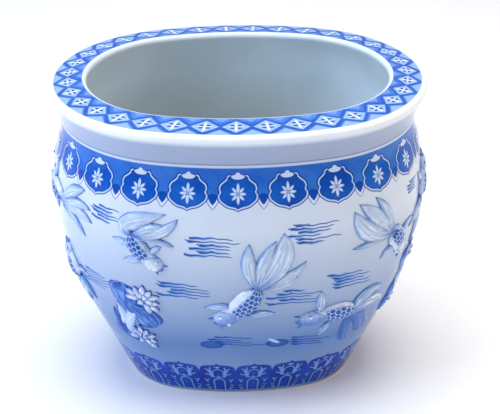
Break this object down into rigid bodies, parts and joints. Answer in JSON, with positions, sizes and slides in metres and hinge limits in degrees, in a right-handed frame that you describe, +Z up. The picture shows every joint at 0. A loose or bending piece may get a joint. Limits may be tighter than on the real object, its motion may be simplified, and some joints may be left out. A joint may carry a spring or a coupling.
{
  "type": "chinese fish bowl jardiniere",
  "caption": "Oval blue and white porcelain fish bowl with a broad flat rim, tapering wall and goldfish and lotus applied in relief; open above and recessed under the base.",
  "frame": {"origin": "middle of the foot ring's flat underside", "axes": "+X along the oval's length, to the right as seen from the front, -Y towards the front with the middle goldfish, +Z up through the mouth"},
  "size_m": [0.4138, 0.3174, 0.359],
  "materials": {
    "bare_porcelain": "unglazed, matt",
    "celadon_white_glaze": "gloss",
    "cobalt_painted_glaze": "gloss",
    "goldfish_body_glaze": "gloss",
    "goldfish_fin_glaze": "gloss",
    "lotus_leaf_glaze": "gloss",
    "lotus_blossom_glaze": "gloss"
  },
  "bodies": {
    "root": {"foot_ring": "bare_porcelain", "base_slab": "celadon_white_glaze", "lower_wall": "celadon_white_glaze", "upper_wall": "cobalt_painted_glaze", "rim": "cobalt_painted_glaze", "goldfish_left_edge_body": "goldfish_body_glaze", "goldfish_left_edge_tail": "goldfish_fin_glaze", "goldfish_left_edge_fins": "goldfish_fin_glaze", "goldfish_upper_left_body": "goldfish_body_glaze", "goldfish_upper_left_tail": "goldfish_fin_glaze", "goldfish_upper_left_fins": "goldfish_fin_glaze", "goldfish_middle_body": "goldfish_body_glaze", "goldfish_middle_tail": "goldfish_fin_glaze", "goldfish_middle_fins": "goldfish_fin_glaze", "goldfish_upper_right_body": "goldfish_body_glaze", "goldfish_upper_right_tail": "goldfish_fin_glaze", "goldfish_upper_right_fins": "goldfish_fin_glaze", "goldfish_right_edge_body": "goldfish_body_glaze", "goldfish_right_edge_tail": "goldfish_fin_glaze", "goldfish_right_edge_fins": "goldfish_fin_glaze", "goldfish_lower_right_body": "goldfish_body_glaze", "goldfish_lower_right_tail": "goldfish_fin_glaze", "goldfish_lower_right_fins": "goldfish_fin_glaze", "goldfish_lower_left_body": "goldfish_body_glaze", "goldfish_lower_left_tail": "goldfish_fin_glaze", "goldfish_lower_left_fins": "goldfish_fin_glaze", "lotus_left_leaves": "lotus_leaf_glaze", "lotus_left_blossoms": "lotus_blossom_glaze", "lotus_right_leaves": "lotus_leaf_glaze", "lotus_right_blossoms": "lotus_blossom_glaze"}
  },
  "joints": []
}
